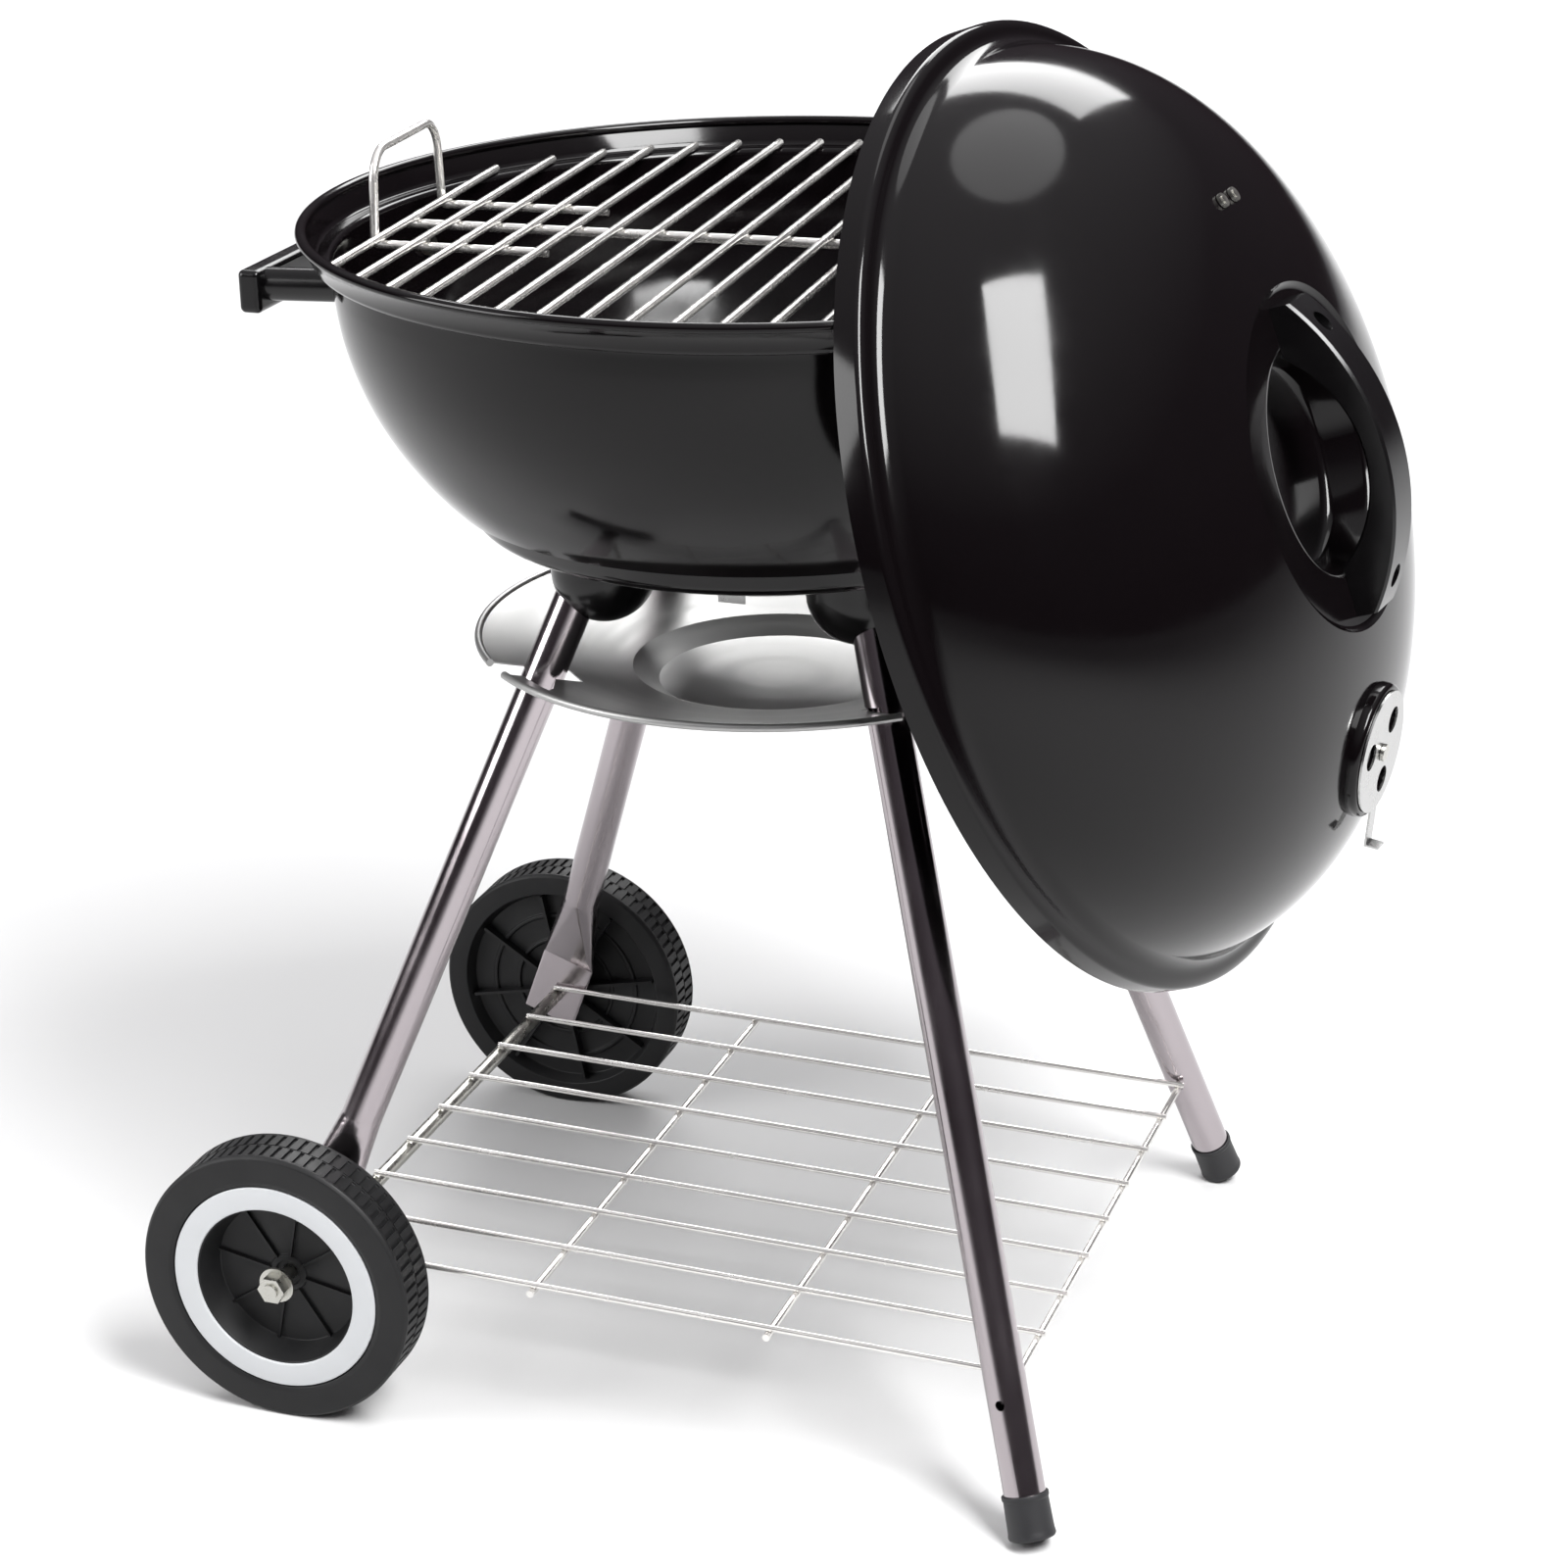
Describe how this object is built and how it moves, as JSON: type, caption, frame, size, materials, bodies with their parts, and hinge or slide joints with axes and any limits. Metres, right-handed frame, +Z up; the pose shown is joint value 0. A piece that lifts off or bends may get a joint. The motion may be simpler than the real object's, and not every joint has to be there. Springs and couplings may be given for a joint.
{
  "type": "kettle charcoal grill",
  "caption": "Round kettle grill on splayed tube legs, with wheels, ash pan, wire shelf and its lid hung on the rim.",
  "frame": {"origin": "centre of the bottom of the whole object's box, on the ground", "axes": "+Z up, +X towards the two fixed feet and the hung lid, -X towards the wheels, -Y the front"},
  "size_m": [0.6078, 0.4882, 0.6971],
  "materials": {
    "black_enamel": "gloss porcelain enamel on pressed steel",
    "chrome": "chrome-plated steel tube",
    "plated_wire": "bright plated steel wire",
    "galvanised": "dull pressed sheet, rubbed",
    "polished_sheet": "polished pressed sheet",
    "zinc_steel": "zinc-plated fasteners",
    "black_plastic": "smooth moulded heat-resistant plastic",
    "grey_plastic": "matt moulded polypropylene",
    "wheel_plastic": "matt moulded plastic with a ribbed tread",
    "white_plastic": "smooth white plastic"
  },
  "bodies": {
    "stand": {"bowl": "black_enamel", "bowl_damper_rivet": "zinc_steel", "side_handle": "black_plastic", "side_handle_bolts": "zinc_steel", "leg_socket_foot_front": "black_plastic", "leg_socket_foot_rear": "black_plastic", "leg_socket_wheel_front": "black_plastic", "leg_socket_wheel_rear": "black_plastic", "leg_foot_front": "chrome", "leg_foot_rear": "chrome", "leg_wheel_front": "chrome", "leg_wheel_rear": "chrome", "leg_bolts": "zinc_steel", "leg_plugs": "zinc_steel", "foot_cap_front": "grey_plastic", "foot_cap_rear": "grey_plastic", "ash_pan": "galvanised", "bottom_shelf": "plated_wire", "axle": "zinc_steel", "wheel_spacers": "zinc_steel", "axle_washers": "zinc_steel", "axle_nuts": "zinc_steel"},
    "lid": {"lid": "black_enamel", "lid_handle": "black_plastic", "lid_handle_screws": "zinc_steel", "lid_handle_nuts": "zinc_steel", "lid_damper_rivet": "zinc_steel", "lid_hook": "zinc_steel", "lid_hook_rivets": "zinc_steel"},
    "lid_damper": {"lid_damper": "polished_sheet"},
    "bowl_damper": {"bowl_damper": "polished_sheet"},
    "cooking_grate": {"cooking_grate": "plated_wire", "grate_handle_left": "plated_wire", "grate_handle_right": "plated_wire"},
    "charcoal_grate": {"charcoal_grate": "plated_wire"},
    "wheel_front": {"wheel_front": "wheel_plastic", "wheel_ring_front": "white_plastic"},
    "wheel_rear": {"wheel_rear": "wheel_plastic", "wheel_ring_rear": "white_plastic"}
  },
  "joints": [
    {"name": "lid_lift", "type": "slide", "parent": "stand", "child": "lid", "axis": [0, 0, 1], "range_m": [0, 0.45]},
    {"name": "lid_damper_turn", "type": "hinge", "parent": "lid", "child": "lid_damper", "pos_m": [0.29586, -0.02856, 0.36808], "axis": [0.9865, -0.1316, -0.0978], "range_deg": [0, 60]},
    {"name": "bowl_damper_turn", "type": "hinge", "parent": "stand", "child": "bowl_damper", "pos_m": [-0.02398, 0.01412, 0.4285], "axis": [0, 0, 1], "range_deg": [0, 60]},
    {"name": "cooking_grate_lift", "type": "slide", "parent": "stand", "child": "cooking_grate", "axis": [0, 0, 1], "range_m": [0, 0.02]},
    {"name": "charcoal_grate_lift", "type": "slide", "parent": "stand", "child": "charcoal_grate", "axis": [0, 0, 1], "range_m": [0, 0.09]},
    {"name": "wheel_front_spin", "type": "hinge", "parent": "stand", "child": "wheel_front", "pos_m": [-0.22928, -0.17618, 0.0746], "axis": [0, 1, 0], "continuous": true},
    {"name": "wheel_rear_spin", "type": "hinge", "parent": "stand", "child": "wheel_rear", "pos_m": [-0.22928, 0.20442, 0.0746], "axis": [0, 1, 0], "continuous": true}
  ]
}
